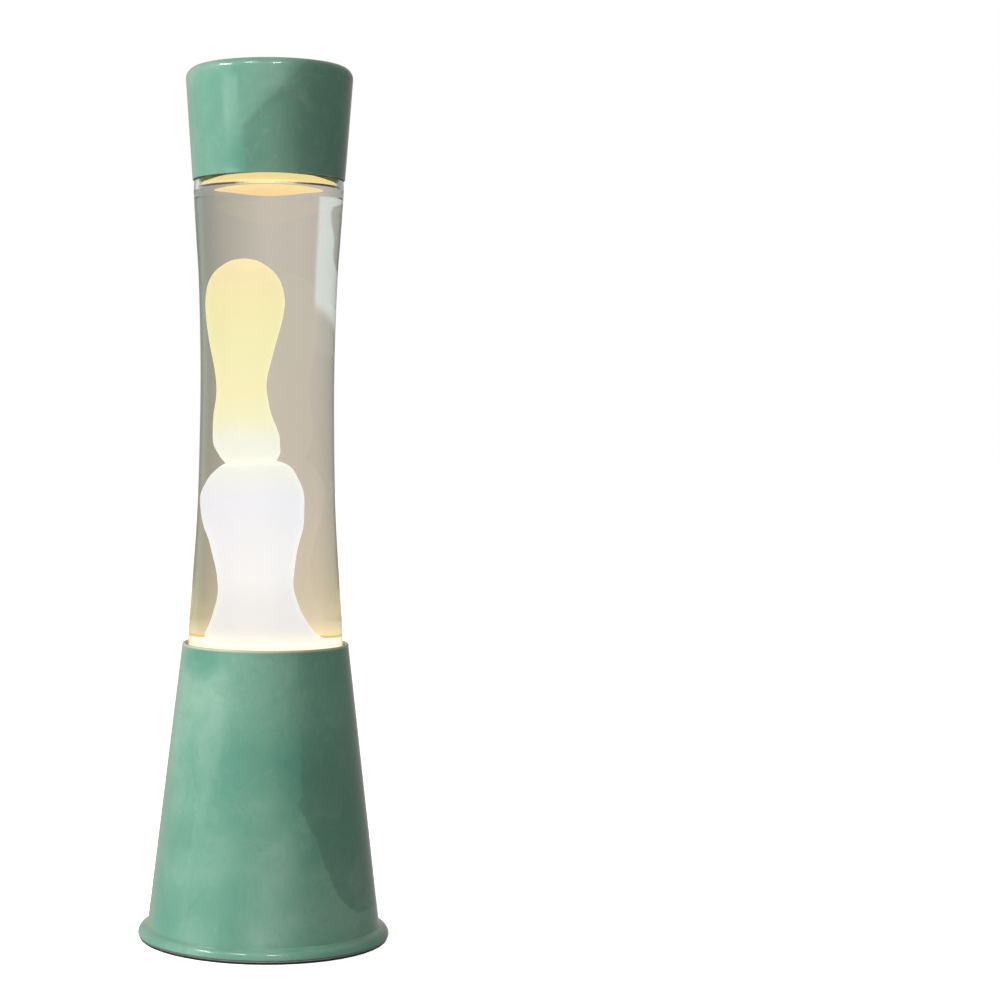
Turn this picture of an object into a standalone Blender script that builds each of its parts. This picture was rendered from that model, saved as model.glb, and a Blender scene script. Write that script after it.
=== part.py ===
"""Lava lamp: a marbled metal base and cap, a glass bottle of liquid and wax, and a small reflector bulb.

The lamp stands on z = 0 with its axis on Z, and its cable entry faces +Y. Outlines are lists of
(radius, height) in millimetres, and everything in the scene is in metres.
"""

import math

import bmesh
import bpy
from mathutils import Matrix, Vector

MM = 0.001
GAP = 0.3                       # left between any two pieces that touch
MERGE = 0.0001

# Base
FOOT_R = 56.0
FOOT_UP = 0.7                   # thickness of the rubber ring
PLATE_R = 56.3
PLATE_Z = FOOT_UP + GAP
PLATE_SHEET = 0.6
PLATE_RAISED_Z = 4.0            # underside of the plate's raised middle
SHELL_Z = PLATE_Z + PLATE_SHEET + GAP
SHELL_SHEET = 0.8
FLARE_R = 52.2                  # where the cone meets the rolled foot
FLARE_Z = 6.3
FLARE_OUT = 4.5
RIM_R = 37.45
RIM_Z = 131.9
RIM_HEM = 0.7                   # radius of the rolled rim

# Shelf that carries the bottle
SEAT_Z = 95.0
SEAT_SHEET = 1.2
SEAT_R = 39.9
SEAT_HOLE_R = 24.0
POST_R = 3.0
POST_CIRCLE_R = 34.0
POST_ANGLES = (30, 150, 270)
VENT_CIRCLE_R = 36.0
VENT_R = 3.0
VENT_COUNT = 6

# Lampholder, for a screw cap of 14 mm
BRACKET_HALF = 25.0
BRACKET_RISE = 14.0             # half the span between the legs
BRACKET_SHEET = 1.2
BRACKET_WIDTH = 14.0
BRACKET_SCREW_X = 20.0
BRACKET_TOP_Z = 12.2
HOLDER_R = 13.0
HOLDER_Z = BRACKET_TOP_Z + GAP
NIPPLE_R = 5.0
BULB_TIP_Z = 22.0
BULB_TOP_Z = 88.5
BULB_R = 19.5
THREAD_R = 6.95
THREAD_PITCH = 2.82

# Bottle and what it holds
BOTTLE_Z = 98.0
BOTTLE_FLAT_R = 22.0
BOTTLE_HEEL_OUT = 12.9
BOTTLE_HEEL_UP = 12.0
GLASS = 2.0
FLOOR_GLASS = 3.0
POOL_Z = 133.8                  # top of the wax that lies in the bottom
LEVEL_Z = 335.5                 # top of the liquid
MOUTH_Z = 376.0
COIL_R = 18.0
COIL_WIRE_R = 2.2

# Cap
CAP_Z = 340.0
CAP_R = 34.15
CAP_TOP_R = 37.35
CAP_TOP_Z = 389.7
CAP_CORNER = 5.0
CAP_SHEET = 0.45

# Cable entry
INLET_Z = 15.0
INLET_BORE_R = 3.25

for old in list(bpy.data.objects):
    bpy.data.objects.remove(old, do_unlink=True)

parts = bpy.data.collections.new("lava_lamp")
cutters = bpy.data.collections.new("cutters")
bpy.context.scene.collection.children.link(parts)
bpy.context.scene.collection.children.link(cutters)


# ---- helpers -------------------------------------------------------------------------------------

def material(name, colour, roughness, metallic=0.0, alpha=1.0):
    """A Principled material, made once for each name."""
    made = bpy.data.materials.get(name)
    if made:
        return made
    made = bpy.data.materials.new(name)
    made.use_nodes = True
    surface = made.node_tree.nodes["Principled BSDF"]
    surface.inputs["Base Color"].default_value = (*colour, 1.0)
    surface.inputs["Roughness"].default_value = roughness
    surface.inputs["Metallic"].default_value = metallic
    surface.inputs["Alpha"].default_value = alpha
    made.diffuse_color = (*colour, alpha)
    return made


def marbled_enamel():
    return material("marbled_enamel", (0.22, 0.45, 0.34), 0.2)


def zinc_steel():
    return material("zinc_steel", (0.55, 0.56, 0.56), 0.35, 1.0)


def brass():
    return material("brass", (0.72, 0.52, 0.22), 0.3, 1.0)


def black_rubber():
    return material("black_rubber", (0.02, 0.025, 0.025), 0.8)


def silicone():
    return material("silicone", (0.75, 0.75, 0.72), 0.6)


def phenolic():
    return material("phenolic", (0.03, 0.03, 0.03), 0.4)


def nylon():
    return material("nylon", (0.8, 0.8, 0.76), 0.5)


def brown_pvc():
    return material("brown_pvc", (0.12, 0.05, 0.02), 0.45)


def blue_pvc():
    return material("blue_pvc", (0.05, 0.15, 0.5), 0.45)


def solder():
    return material("solder", (0.6, 0.6, 0.6), 0.4, 1.0)


def tungsten():
    return material("tungsten", (0.3, 0.3, 0.3), 0.4, 1.0)


def clear_glass():
    return material("clear_glass", (0.85, 0.93, 0.9), 0.05, 0.0, 0.25)


def lamp_liquid():
    return material("lamp_liquid", (0.75, 0.7, 0.64), 0.05, 0.0, 0.45)


def lamp_wax():
    return material("lamp_wax", (0.98, 0.9, 0.6), 0.45)


def bulb_glass():
    return material("bulb_glass", (0.9, 0.9, 0.88), 0.15)


def finish(part, paint, smooth=True):
    """Give a part its material and, if it is round, smooth faces with sharp corners kept."""
    part.data.materials.append(paint)
    if smooth:
        part.data.shade_smooth()
        part.data.set_sharp_from_angle(angle=math.radians(30))
    return part


def add_object(name, data, collection=parts):
    made = bpy.data.objects.new(name, data)
    collection.objects.link(made)
    return made


def as_cutter(part):
    """Move an object to the cutters' collection, where it doesn't render."""
    for collection in part.users_collection:
        collection.objects.unlink(part)
    cutters.objects.link(part)
    part.hide_render = True
    part.display_type = "WIRE"
    return part


def cut(part, *tools):
    """Take each tool's volume out of a part."""
    for tool in tools:
        boolean = part.modifiers.new("cut", "BOOLEAN")
        boolean.operation = "DIFFERENCE"
        boolean.solver = "EXACT"
        boolean.object = tool
    return part


def cylinder(name, radius, low, high, at=(0.0, 0.0), steps=24, collection=parts):
    """An upright cylinder from height low to high, in millimetres."""
    mesh = bpy.data.meshes.new(name)
    shape = bmesh.new()
    bmesh.ops.create_cone(shape, cap_ends=True, segments=steps, radius1=radius * MM,
                          radius2=radius * MM, depth=(high - low) * MM)
    shape.to_mesh(mesh)
    shape.free()
    made = add_object(name, mesh, collection)
    made.location = (at[0] * MM, at[1] * MM, (low + high) / 2 * MM)
    return made


def drill(radius, low, high, at=(0.0, 0.0), steps=16):
    """A cutter for a round hole, turned a little so that its corners miss the part's own edges."""
    made = as_cutter(cylinder("drill", radius, low, high, at, steps, cutters))
    made.rotation_euler.z = 0.1
    return made


def turned(name, outline, steps=48, ring=False, collection=parts):
    """A solid turned about Z: its outline runs from the top down the outer side; a ring's closes."""
    mesh = bpy.data.meshes.new(name)
    points = [(radius * MM, 0.0, height * MM) for radius, height in outline]
    edges = [(i, i + 1) for i in range(len(points) - 1)]
    if ring:
        edges.append((len(points) - 1, 0))
    mesh.from_pydata(points, edges, [])
    made = add_object(name, mesh, collection)
    screw = made.modifiers.new("turn", "SCREW")
    screw.steps = steps
    screw.render_steps = steps
    screw.use_merge_vertices = True
    screw.merge_threshold = MERGE
    screw.use_smooth_shade = False
    return made


def arc(centre, radii, start, end, count):
    """Points on an ellipse's arc about (radius, height), from start to end in degrees."""
    step = (end - start) / (count - 1)
    turns = [math.radians(start + step * i) for i in range(count)]
    return [(centre[0] + radii[0] * math.cos(a), centre[1] + radii[1] * math.sin(a)) for a in turns]


def smoothed(points, spans=3):
    """A Catmull-Rom curve through the points, with this many spans between neighbours."""
    ends = [points[0], *points, points[-1]]
    out = []
    for i in range(1, len(ends) - 2):
        before, here, there, after = (Vector(p) for p in ends[i - 1:i + 3])
        for k in range(spans):
            t = k / spans
            out.append(tuple(0.5 * (2 * here + (there - before) * t
                                    + (2 * before - 5 * here + 4 * there - after) * t * t
                                    + (3 * here - before - 3 * there + after) * t * t * t)))
    return [*out, tuple(points[-1])]


def grown(outline, by):
    """An outline moved outwards by a distance along its normals; points on the axis stay on it."""
    out = []
    for i, (radius, height) in enumerate(outline):
        before = outline[max(i - 1, 0)]
        after = outline[min(i + 1, len(outline) - 1)]
        along = Vector((after[0] - before[0], after[1] - before[1])).normalized()
        if radius == 0:
            out.append((0.0, height + (by if i == 0 else -by)))
        else:
            out.append((max(radius - along.y * by, 0.0), height + along.x * by))
    return out


def swayed(part, sway):
    """Fix a turned shape's mesh, and lean each height sideways along X by sway(height)."""
    seen = part.evaluated_get(bpy.context.evaluated_depsgraph_get())
    mesh = bpy.data.meshes.new_from_object(seen)
    for vertex in mesh.vertices:
        vertex.co.x += sway(vertex.co.z / MM) * MM
    part.modifiers.clear()
    part.data = mesh
    return part


def table(pairs):
    """A function that runs smoothly through (height, value) pairs, and is level beyond them."""
    def value(height):
        if height <= pairs[0][0]:
            return pairs[0][1]
        for (low, start), (high, end) in zip(pairs, pairs[1:]):
            if height <= high:
                t = (height - low) / (high - low)
                return start + (end - start) * t * t * (3 - 2 * t)
        return pairs[-1][1]
    return value


def wire(name, points, radius, cyclic=False, collection=parts):
    """A round wire along points in millimetres."""
    curve = bpy.data.curves.new(name, "CURVE")
    curve.dimensions = "3D"
    curve.bevel_depth = radius * MM
    curve.bevel_resolution = 2
    curve.use_fill_caps = True
    spline = curve.splines.new("POLY")
    spline.points.add(len(points) - 1)
    spline.use_cyclic_u = cyclic
    for point, place in zip(spline.points, points):
        point.co = (place[0] * MM, place[1] * MM, place[2] * MM, 1.0)
    return add_object(name, curve, collection)


def extruded(name, outline, thickness, collection=parts):
    """A flat outline of (x, z) in millimetres, as a solid of this thickness centred on Y = 0."""
    curve = bpy.data.curves.new(name, "CURVE")
    curve.dimensions = "2D"
    curve.fill_mode = "BOTH"
    curve.extrude = thickness / 2 * MM
    spline = curve.splines.new("POLY")
    spline.points.add(len(outline) - 1)
    spline.use_cyclic_u = True
    for point, (x, z) in zip(spline.points, outline):
        point.co = (x * MM, z * MM, 0.0, 1.0)
    made = add_object(name, curve, collection)
    made.rotation_euler.x = math.pi / 2
    return made


def as_mesh(part):
    """Turn a curve object into a closed mesh object of the same name and place."""
    bpy.context.view_layer.update()
    seen = part.evaluated_get(bpy.context.evaluated_depsgraph_get())
    mesh = bpy.data.meshes.new_from_object(seen)
    shape = bmesh.new()
    shape.from_mesh(mesh)
    bmesh.ops.remove_doubles(shape, verts=shape.verts, dist=MERGE * 0.1)
    shape.to_mesh(mesh)
    shape.free()
    name = part.name
    place = part.matrix_world.copy()
    bpy.data.objects.remove(part, do_unlink=True)
    made = add_object(name, mesh)
    made.matrix_world = place
    return made


def box(name, size, centre, collection=parts):
    """A box of a size and centre in millimetres."""
    mesh = bpy.data.meshes.new(name)
    shape = bmesh.new()
    bmesh.ops.create_cube(shape, size=1.0, matrix=Matrix.Diagonal((*(s * MM for s in size), 1.0)))
    shape.to_mesh(mesh)
    shape.free()
    made = add_object(name, mesh, collection)
    made.location = [c * MM for c in centre]
    return made


def on_circle(radius, degrees):
    angle = math.radians(degrees)
    return radius * math.cos(angle), radius * math.sin(angle)


def screw_outline(head_r, head_low, shank_r, top):
    """A pan-head screw that points up, with its head at the bottom."""
    head_high = head_low + 1.4
    return [(0, top), (shank_r * 0.7, top), (shank_r, top - 0.6), (shank_r, head_high),
            (head_r, head_high), (head_r, head_low + 0.6), (head_r * 0.75, head_low), (0, head_low)]


# ---- base ----------------------------------------------------------------------------------------

def make_foot_ring():
    outline = [(FOOT_R, FOOT_UP), (FOOT_R, 0.2), (FOOT_R - 0.2, 0.0), (48.0, 0.0), (48.0, FOOT_UP)]
    finish(turned("foot_ring", outline, 48, ring=True), black_rubber())


def make_base_plate():
    top, under = PLATE_RAISED_Z + PLATE_SHEET, PLATE_RAISED_Z
    flange = PLATE_Z + PLATE_SHEET
    outline = [(0, top), (44.2, top), (47.2, flange), (PLATE_R, flange), (PLATE_R, PLATE_Z),
               (47.5, PLATE_Z), (44.5, under), (0, under)]
    plate = turned("base_plate", outline, 48)
    holes = [drill(1.8, 2, 7, on_circle(POST_CIRCLE_R, angle), 12) for angle in POST_ANGLES]
    holes += [drill(1.8, 2, 7, (x, 0.0), 12) for x in (-BRACKET_SCREW_X, BRACKET_SCREW_X)]
    vents = [on_circle(VENT_CIRCLE_R, 360 / VENT_COUNT * i) for i in range(VENT_COUNT)]
    holes += [drill(VENT_R, 2, 7, place, 12) for place in vents]
    finish(cut(plate, *holes), zinc_steel(), smooth=False)


def make_base_shell():
    low = SHELL_Z
    sheet = SHELL_SHEET
    rim = (RIM_R - RIM_HEM, RIM_Z + 0.3)
    roll_centre = (FLARE_R, low)
    roll_up = FLARE_Z - 0.3 - low
    outline = [
        *arc(rim, (RIM_HEM, RIM_HEM), 180, 0, 5),
        (RIM_R, RIM_Z - 0.4),
        (FLARE_R, FLARE_Z),
        *arc(roll_centre, (FLARE_OUT, roll_up), 78, 12, 5),
        (FLARE_R + FLARE_OUT - 0.5, low),
        (50.0, low),
        (50.0, low + sheet),
        *arc(roll_centre, (FLARE_OUT - sheet, roll_up - sheet), 12, 78, 3),
        (FLARE_R - sheet, FLARE_Z),
        (RIM_R - sheet + 0.15, RIM_Z - 1.8),
        (RIM_R - 2 * RIM_HEM, RIM_Z - 1.2),
    ]
    shell = turned("base_shell", outline, 56, ring=True)
    hole = drill(4.3, -8, 8, steps=20)
    hole.rotation_euler.x = math.pi / 2
    hole.location = (0, 51 * MM, INLET_Z * MM)
    finish(cut(shell, hole), marbled_enamel())


def make_cable_grommet():
    """A rubber bush in the shell's rear hole, turned about its own axis and laid along Y."""
    bore = INLET_BORE_R
    outline = [(5.5, 53.6), (5.5, 52.6), (3.9, 52.6), (3.9, 49.2), (5.5, 49.2), (5.2, 47.8), (bore, 47.8),
               (bore, 53.8), (4.8, 53.8)]
    grommet = turned("cable_grommet", outline, 20, ring=True)
    grommet.rotation_euler.x = -math.pi / 2
    grommet.location.z = INLET_Z * MM
    finish(grommet, black_rubber())


def make_seat():
    """The shelf, its three riveted posts and the screws that pull the base together."""
    top = SEAT_Z + SEAT_SHEET
    outline = [(SEAT_HOLE_R + 0.8, top + 1.2), (SEAT_HOLE_R + 0.8, top), (SEAT_R, top), (SEAT_R, SEAT_Z),
               (SEAT_HOLE_R, SEAT_Z), (SEAT_HOLE_R, top + 1.2)]
    ring = turned("seat_ring", outline, 40, ring=True)
    places = [on_circle(POST_CIRCLE_R, angle) for angle in POST_ANGLES]
    rivet_holes = [drill(1.9, SEAT_Z - 2, top + 2, place, 12) for place in places]
    finish(cut(ring, *rivet_holes), zinc_steel(), smooth=False)
    foot = PLATE_RAISED_Z + PLATE_SHEET + GAP
    for i, place in enumerate(places, 1):
        post_outline = [
            (0, top + 1.1), (2.2, top + 1.1), (2.6, top + GAP), (1.6, top + GAP), (1.6, SEAT_Z - GAP),
            (POST_R, SEAT_Z - GAP), (POST_R, foot), (1.8, foot), (1.8, foot + 9), (0, foot + 9),
        ]
        post = turned(f"seat_post_{i}", post_outline, 16)
        post.location = (place[0] * MM, place[1] * MM, 0)
        finish(post, zinc_steel())
        screw = turned(f"post_screw_{i}", screw_outline(2.8, 2.3, 1.5, foot + 7.5), 12)
        screw.location = post.location
        finish(screw, zinc_steel())


def bottle_foot(radius):
    """Height of the bottle's underside at a radius."""
    out = max(radius - BOTTLE_FLAT_R, 0) / BOTTLE_HEEL_OUT
    return BOTTLE_Z + BOTTLE_HEEL_UP * (1 - math.sqrt(1 - out * out))


def make_seat_gasket():
    """A silicone ring whose sloping top takes the bottle's heel."""
    low = SEAT_Z + SEAT_SHEET + GAP
    slope = [(radius, bottle_foot(radius) - 1.5 * GAP) for radius in (25.2, 28.0, 31.0)]
    finish(turned("seat_gasket", [*slope, (31.0, low), (25.2, low)], 32, ring=True), silicone())


# ---- lampholder ----------------------------------------------------------------------------------

def make_holder_bracket():
    foot = PLATE_RAISED_Z + PLATE_SHEET + GAP
    sheet = BRACKET_SHEET
    inner, outer, top = BRACKET_RISE, BRACKET_RISE + sheet, BRACKET_TOP_Z
    outline = [
        (-BRACKET_HALF, foot), (-inner, foot), (-inner, top - sheet), (inner, top - sheet), (inner, foot),
        (BRACKET_HALF, foot), (BRACKET_HALF, foot + sheet), (outer, foot + sheet), (outer, top),
        (-outer, top), (-outer, foot + sheet), (-BRACKET_HALF, foot + sheet),
    ]
    bracket = as_mesh(extruded("holder_bracket", outline, BRACKET_WIDTH))
    holes = [drill(NIPPLE_R + GAP, 9, 14, steps=20)]
    holes += [drill(1.8, 3, 8, (x, 0.0), 12) for x in (-BRACKET_SCREW_X, BRACKET_SCREW_X)]
    finish(cut(bracket, *holes), zinc_steel(), smooth=False)
    for i, x in enumerate((-BRACKET_SCREW_X, BRACKET_SCREW_X), 1):
        screw = turned(f"bracket_screw_{i}", screw_outline(2.8, 2.3, 1.5, 8.4), 12)
        screw.location.x = x * MM
        finish(screw, zinc_steel())


def make_holder_mounting():
    """The hollow threaded nipple through the bracket, and its nut."""
    top = HOLDER_Z + 4.5
    nipple = [(NIPPLE_R, top), (NIPPLE_R, 6.5), (3.6, 6.5), (3.6, top)]
    finish(turned("holder_nipple", nipple, 20, ring=True), brass())
    nut_top = BRACKET_TOP_Z - BRACKET_SHEET - GAP
    nut = cylinder("holder_nut", 8.1, nut_top - 3.0, nut_top, steps=6)
    finish(cut(nut, drill(NIPPLE_R + GAP, 5, 13, steps=20)), zinc_steel(), smooth=False)


def make_lampholder():
    """Insulating body and skirt, the brass thread shell between them and the centre contact."""
    low = HOLDER_Z
    body = [
        (11.0, low + 17.5), (11.0, low + 11.5), (HOLDER_R, low + 11.5), (HOLDER_R, low),
        (NIPPLE_R + GAP, low), (NIPPLE_R + GAP, low + 4.8), (0, low + 4.8),
    ]
    floor = [(0, low + 7.0), (6.5, low + 7.0), (6.5, low + 8.2), (8.0, low + 8.2), (8.0, low + 17.5)]
    holder = turned("lampholder_body", [*floor, *body], 24)
    wire_holes = [drill(1.6, low - 2, low + 4, (0, side), 12) for side in (-9, 9)]
    finish(cut(holder, *wire_holes), phenolic())
    step = low + 11.5 + GAP
    skirt = [(HOLDER_R - 0.6, 46.0), (HOLDER_R, 45.4), (HOLDER_R, step), (11.0 + GAP, step),
             (11.0 + GAP, low + 17.5 + GAP), (8.1, low + 17.5 + GAP), (8.1, 46.0)]
    finish(turned("lampholder_skirt", skirt, 24, ring=True), phenolic())
    shell_low = low + 8.2 + GAP
    shell = [(7.7, 44.0), (7.7, shell_low), (7.3, shell_low), (7.3, 44.0)]
    finish(turned("thread_shell", shell, 24, ring=True), brass())
    floor_z = low + 7.0 + GAP
    crest = BULB_TIP_Z - GAP
    thick = 0.4
    leaf = [
        (-5.5, floor_z), (-2.5, floor_z), (-1.0, crest - thick), (1.0, crest - thick), (2.5, floor_z),
        (5.5, floor_z), (5.5, floor_z + thick), (2.9, floor_z + thick), (1.4, crest), (-1.4, crest),
        (-2.9, floor_z + thick), (-5.5, floor_z + thick),
    ]
    finish(as_mesh(extruded("centre_contact", leaf, 4.0)), brass(), smooth=False)


def make_wiring():
    """A two-way terminal block on the plate, its clamp screws, and a lead from each way to the holder."""
    plate_top = PLATE_RAISED_Z + PLATE_SHEET + GAP
    block = box("terminal_block", (16, 9, 9), (0, 36, plate_top + 4.5))
    ways = (-4.0, 4.0)
    tunnels = []
    for x in ways:
        tunnel = drill(1.5, -8, 8, steps=12)
        tunnel.rotation_euler.x = math.pi / 2
        tunnel.location = (x * MM, 36 * MM, (plate_top + 4) * MM)
        tunnels.append(tunnel)
    wells = [drill(1.8, plate_top + 6.5, plate_top + 12, (x, 36), 12) for x in ways]
    finish(cut(block, *tunnels, *wells), nylon(), smooth=False)
    for i, x in enumerate(ways, 1):
        head_z = plate_top + 8.6
        screw = cylinder(f"terminal_screw_{i}", 1.5, head_z - 1.8, head_z, (x, 36), 12)
        slot = as_cutter(box("slot", (3.4, 0.6, 1.2), (x, 36, head_z), cutters))
        finish(cut(screw, slot), brass(), smooth=False)
    terminal_y = 31.2
    terminal_z = plate_top + 4
    lead_end_z = HOLDER_Z + 3.2
    neutral = [(4, terminal_y, terminal_z), (4, 22, 8.0), (2.4, 13, 7.2), (0, 9.4, 9.0), (0, 9, lead_end_z)]
    live = [
        (-4, terminal_y, terminal_z), (-12, 24, 8.0), (-18, 12, 10.0), (-17.6, 0, 10.4),
        (-14, -10.5, 9.0), (-4, -12.5, 7.4), (0, -9.4, 9.0), (0, -9, lead_end_z),
    ]
    finish(as_mesh(wire("lead_neutral", smoothed(neutral, 3), 0.9)), blue_pvc())
    finish(as_mesh(wire("lead_live", smoothed(live, 3), 0.9)), brown_pvc())


# ---- bulb ----------------------------------------------------------------------------------------

def make_bulb():
    tip = BULB_TIP_Z
    contact = [(0, tip + 1.2), (1.6, tip + 1.2), (2.4, tip + 0.7), (1.5, tip + 0.15), (0, tip)]
    finish(turned("bulb_tip_contact", contact, 16), solder())
    insulator = [(0, tip + 3.6), (5.8, tip + 3.6), (5.8, tip + 3.0), (3.2, tip + 1.5), (0, tip + 1.5)]
    finish(turned("bulb_insulator", insulator, 20), phenolic())
    cap_low = tip + 3.9
    ridges = []
    for i in range(5):
        crest = 40.0 - THREAD_PITCH * i
        ridges += [(THREAD_R - 0.5, crest + THREAD_PITCH * 0.5), (THREAD_R, crest)]
    outline = [(THREAD_R - 0.2, 46.5), *ridges, (THREAD_R - 0.5, 27.3), (5.9, cap_low), (5.4, cap_low),
               (6.05, 27.6), (6.05, 44.0), (6.4, 46.5)]
    finish(turned("bulb_screw_cap", outline, 24, ring=True), brass())
    waist = 78.0
    wall = 0.8
    side = [
        (BULB_R, waist), (18.2, 71.5), (14.0, 62.5), (9.4, 54.5), (6.5, 49.5), (5.75, 46.8), (5.75, 40.0),
    ]
    dome = arc((0, waist), (BULB_R, BULB_TOP_Z - waist), 90, 20, 4)
    room = arc((0, waist), (BULB_R - wall, BULB_TOP_Z - wall - waist), 20, 90, 4)
    inside = [(radius - wall, height) for radius, height in reversed(side)]
    envelope = [(0, BULB_TOP_Z), *dome[1:], *side, *inside, *room[:-1], (0, BULB_TOP_Z - wall)]
    finish(turned("bulb_envelope", envelope, 24), bulb_glass())
    stem = [(0, 60.0), (1.8, 60.0), (2.2, 50.0), (4.4, 44.5), (4.4, 40.3), (0, 40.3)]
    finish(turned("bulb_stem", stem, 12), clear_glass())
    for i, side in enumerate((-1, 1), 1):
        lead = [(side * 1.0, 0, 60.3), (side * 1.4, 0, 63.0), (side * 5.0, 0, 67.0), (side * 6.0, 0, 70.0)]
        finish(as_mesh(wire(f"bulb_lead_{i}", lead, 0.35)), zinc_steel())
    turns, sides, reach = 6, 5, 5.2
    steps = turns * sides
    coil = []
    for k in range(steps + 1):
        angle = 2 * math.pi * k / sides
        coil.append((reach * (2 * k / steps - 1), 0.7 * math.sin(angle), 70.0 + 0.7 * math.cos(angle)))
    finish(as_mesh(wire("bulb_filament", coil, 0.15)), tungsten())


# ---- bottle --------------------------------------------------------------------------------------

BOTTLE_SIDE = [(33.3, 340.0), (33.5, 334.0), (32.2, 313.0), (31.0, 294.0), (30.1, 262.0), (30.1, 232.0),
               (31.0, 194.0), (33.1, 160.0), (34.4, 142.0), (34.9, 122.0), (34.9, 110.0)]
WALL = sorted((height, radius) for radius, height in BOTTLE_SIDE)


def wall_radius(height):
    """The bottle's outer radius between its heel and its shoulder."""
    for (low, start), (high, end) in zip(WALL, WALL[1:]):
        if height <= high:
            return start + (end - start) * (height - low) / (high - low)
    return WALL[-1][1]


def shoulder():
    """From the neck down to the side: a hollow into the neck, a straight slope and a round shoulder."""
    return [(13.0, 361.0), (16.0, 356.3), (30.0, 347.2), (32.2, 344.6)]


def heel(inset, floor):
    """The bottle's rounded heel, seen from outside or, inset, from within."""
    up = BOTTLE_HEEL_UP + BOTTLE_Z - floor
    return arc((BOTTLE_FLAT_R, floor + up), (BOTTLE_HEEL_OUT - inset, up), -18, -90, 5)


def make_bottle():
    floor = BOTTLE_Z + FLOOR_GLASS
    inside = [(0, floor), *reversed(heel(GLASS, floor)),
              *[(radius - GLASS, height) for radius, height in reversed(BOTTLE_SIDE)],
              (28.6, 345.4), (15.2, 354.2), (11.0, 358.0), (9.8, 362.0)]
    mouth = [(9.8, MOUTH_Z), (12.8, MOUTH_Z), (13.1, MOUTH_Z - 5.0), (12.6, MOUTH_Z - 6.5)]
    outline = [*inside, *mouth, *shoulder(), *BOTTLE_SIDE, *heel(0, BOTTLE_Z), (0, BOTTLE_Z)]
    finish(turned("bottle_glass", outline, 36), clear_glass())


def make_closure():
    """A crown closure with its liner, crimped over the bottle's lip."""
    seal_low = MOUTH_Z + GAP
    seal_top = seal_low + 1.0
    finish(cylinder("closure_seal", 12.6, seal_low, seal_top, steps=24), silicone())
    under = seal_top + GAP
    outline = [
        (0, under + 0.6), (12.4, under + 0.6), (13.6, under - 0.2), (14.2, MOUTH_Z - 1.5),
        (14.6, MOUTH_Z - 3.0), (16.0, MOUTH_Z - 4.8), (15.6, MOUTH_Z - 5.0), (14.1, MOUTH_Z - 3.2),
        (13.6, MOUTH_Z - 1.5), (13.1, under - 0.6), (12.2, under), (0, under),
    ]
    finish(turned("crown_closure", outline, 28), zinc_steel())


COLUMN = [
    (0, 215.4), (6.0, 214.9), (10.2, 213.3), (13.2, 210.2), (15.8, 205.0), (17.5, 199.4), (17.7, 194.0),
    (16.9, 185.0), (15.2, 178.0), (13.6, 168.5), (12.8, 161.0), (12.9, 155.5), (14.1, 149.0), (15.9, 143.2),
    (18.0, 138.2), (20.4, 134.0),
]
COLUMN_SWAY = table([
    (133.8, 0.0), (137.0, -1.7), (141.8, -2.3), (148.0, -2.9), (162.0, -3.6), (176.0, -4.1), (197.0, -5.1),
    (206.0, -4.6), (213.0, -3.8),
])
BLOB = [
    (0, 305.2), (4.6, 304.1), (8.9, 300.6), (11.3, 297.0), (12.7, 293.0), (13.4, 288.0), (13.5, 283.5),
    (12.6, 275.2), (10.8, 264.5), (9.0, 254.0), (8.5, 247.0), (9.2, 239.3), (11.0, 228.2), (11.3, 223.5),
    (10.5, 218.0), (7.6, 212.6), (4.0, 210.4), (0, 209.8),
]
BLOB_SWAY = table([
    (210.0, -5.2), (217.0, -6.0), (223.0, -7.0), (238.0, -8.5), (250.0, -8.8), (262.0, -8.6), (286.0, -7.9),
    (302.0, -8.2),
])
LENS = [
    (0, 343.6), (10.0, 343.2), (17.0, 342.1), (24.0, 340.5), (27.5, 339.1), (29.2, 338.0), (27.0, 337.5),
    (22.0, 336.9), (15.5, 335.9), (9.0, 333.9), (4.0, 333.1), (0, 333.0),
]
BLOB_STEPS = 20
COLUMN_STEPS = 28
LENS_STEPS = 24


def column_outline():
    """The wax column on its pool, with a groove under the pool for the heat coil."""
    floor = BOTTLE_Z + FLOOR_GLASS
    low = floor + GAP
    inset = GLASS + GAP
    pool = [(wall_radius(height) - inset, height) for height in (POOL_Z, 122.0)]
    foot = [(radius - GAP, height + GAP / 2) for radius, height in heel(GLASS, floor)[:-1]]
    groove_top = low + 2 * COIL_WIRE_R + 4 * GAP
    groove_out = COIL_R + COIL_WIRE_R + 2 * GAP
    groove_in = COIL_R - COIL_WIRE_R - 2 * GAP
    groove = [(groove_out, low), (groove_out, groove_top), (groove_in, groove_top), (groove_in, low)]
    return [*COLUMN, *pool, *foot, *groove, (0, low)]


def make_wax():
    """The column on its pool, the risen blob in the dish on top of it, and the floating pool."""
    finish(swayed(turned("wax_blob", BLOB, BLOB_STEPS), BLOB_SWAY), lamp_wax())
    column = swayed(turned("wax_column", column_outline(), COLUMN_STEPS), COLUMN_SWAY)
    finish(cut(column, blob_room("blob_dish")), lamp_wax())
    finish(turned("wax_top_pool", LENS, LENS_STEPS), lamp_wax())


def blob_room(name):
    """A cutter for the room that the blob takes."""
    return as_cutter(swayed(turned(name, grown(BLOB, GAP), BLOB_STEPS, collection=cutters), BLOB_SWAY))


def make_heat_coil():
    """The coil that stands in the pool, as a plain ring of its outer shape."""
    low = BOTTLE_Z + FLOOR_GLASS + 2 * GAP
    ring = arc((COIL_R, low + COIL_WIRE_R), (COIL_WIRE_R, COIL_WIRE_R), 0, -315, 8)
    finish(turned("heat_coil", ring, 24, ring=True), zinc_steel())


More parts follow.
